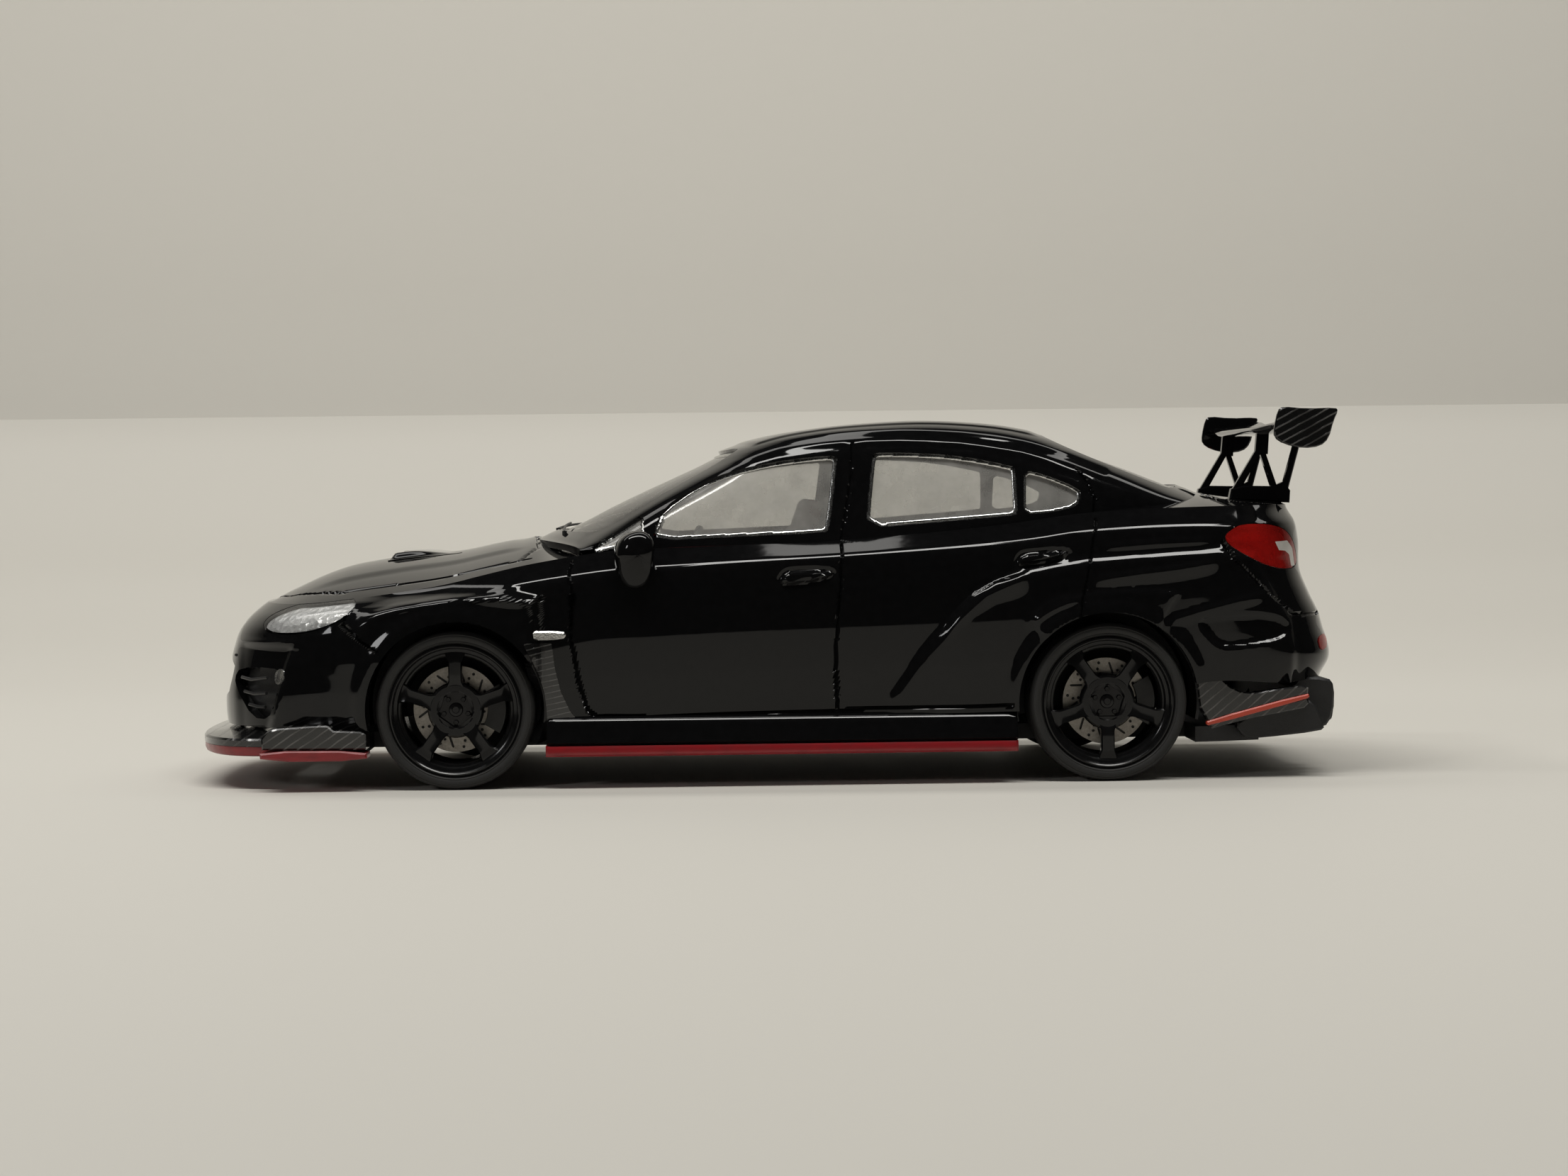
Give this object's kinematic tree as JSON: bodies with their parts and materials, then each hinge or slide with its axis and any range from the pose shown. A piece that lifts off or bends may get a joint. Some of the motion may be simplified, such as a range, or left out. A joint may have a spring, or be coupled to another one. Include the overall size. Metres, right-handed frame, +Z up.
{
  "type": "diecast collector car",
  "caption": "Small-scale black widebody four-door sport saloon with rear wing, splitter, clear glazing and free-rolling wheels on two axles.",
  "frame": {"origin": "on the ground under the tyres, at the middle of the overall length, on the centre plane", "axes": "+X towards the tail, +Y towards the car's right side, +Z up"},
  "size_m": [0.0752, 0.0314, 0.0237],
  "materials": {
    "gloss_black_paint": "gloss black lacquer over a zinc casting",
    "clear_glazing": "clear moulded plastic with silver printed edges",
    "clear_lamp": "clear lens over a silver reflector",
    "red_lamp": "translucent red lens",
    "carbon_pattern": "twill carbon print under gloss",
    "red_trim": "dark red moulded seats",
    "wheel_black": "gloss black wheel",
    "tyre_rubber": "matte dark grey rubber",
    "brake_metal": "drilled disc with a black caliper",
    "bright_steel": "bright plated steel",
    "bright_chrome": "bright tip",
    "black_plastic": "satin black plastic"
  },
  "bodies": {
    "car": {"body_shell": "gloss_black_paint", "window_glazing": "clear_glazing", "chassis_plate": "black_plastic", "interior_tub": "black_plastic", "seat_front_left": "red_trim", "seat_front_right": "red_trim", "rear_bench": "red_trim", "dashboard": "black_plastic", "steering_wheel": "black_plastic", "headlight_left": "clear_lamp", "headlight_right": "clear_lamp", "tail_light_left": "red_lamp", "tail_light_right": "red_lamp", "front_grille": "black_plastic", "fog_vent_left": "black_plastic", "fog_vent_right": "black_plastic", "front_splitter": "carbon_pattern", "splitter_block_left": "carbon_pattern", "splitter_block_right": "carbon_pattern", "bonnet_scoop": "carbon_pattern", "wipers": "black_plastic", "mirror_left": "gloss_black_paint", "mirror_right": "gloss_black_paint", "fender_panel_left": "carbon_pattern", "fender_panel_right": "carbon_pattern", "side_skirt_left": "gloss_black_paint", "side_skirt_right": "gloss_black_paint", "rear_spat_left": "carbon_pattern", "rear_spat_right": "carbon_pattern", "rear_diffuser": "black_plastic", "exhaust_tips": "bright_chrome", "wing_blade": "carbon_pattern", "wing_end_plate_left": "carbon_pattern", "wing_end_plate_right": "carbon_pattern", "wing_stay_left": "gloss_black_paint", "wing_stay_right": "gloss_black_paint", "chassis_screws": "bright_steel"},
    "front_wheels": {"axle_front": "bright_steel", "rim_front_left": "wheel_black", "rim_front_right": "wheel_black", "tyre_front_left": "tyre_rubber", "tyre_front_right": "tyre_rubber", "brake_front_left": "brake_metal", "brake_front_right": "brake_metal"},
    "rear_wheels": {"axle_rear": "bright_steel", "rim_rear_left": "wheel_black", "rim_rear_right": "wheel_black", "tyre_rear_left": "tyre_rubber", "tyre_rear_right": "tyre_rubber", "brake_rear_left": "brake_metal", "brake_rear_right": "brake_metal"}
  },
  "joints": [
    {"name": "front_axle_roll", "type": "hinge", "parent": "car", "child": "front_wheels", "pos_m": [-0.0201, 0, 0.00502], "axis": [0, 1, 0], "continuous": true},
    {"name": "rear_axle_roll", "type": "hinge", "parent": "car", "child": "rear_wheels", "pos_m": [0.0213, 0, 0.00502], "axis": [0, 1, 0], "continuous": true}
  ]
}
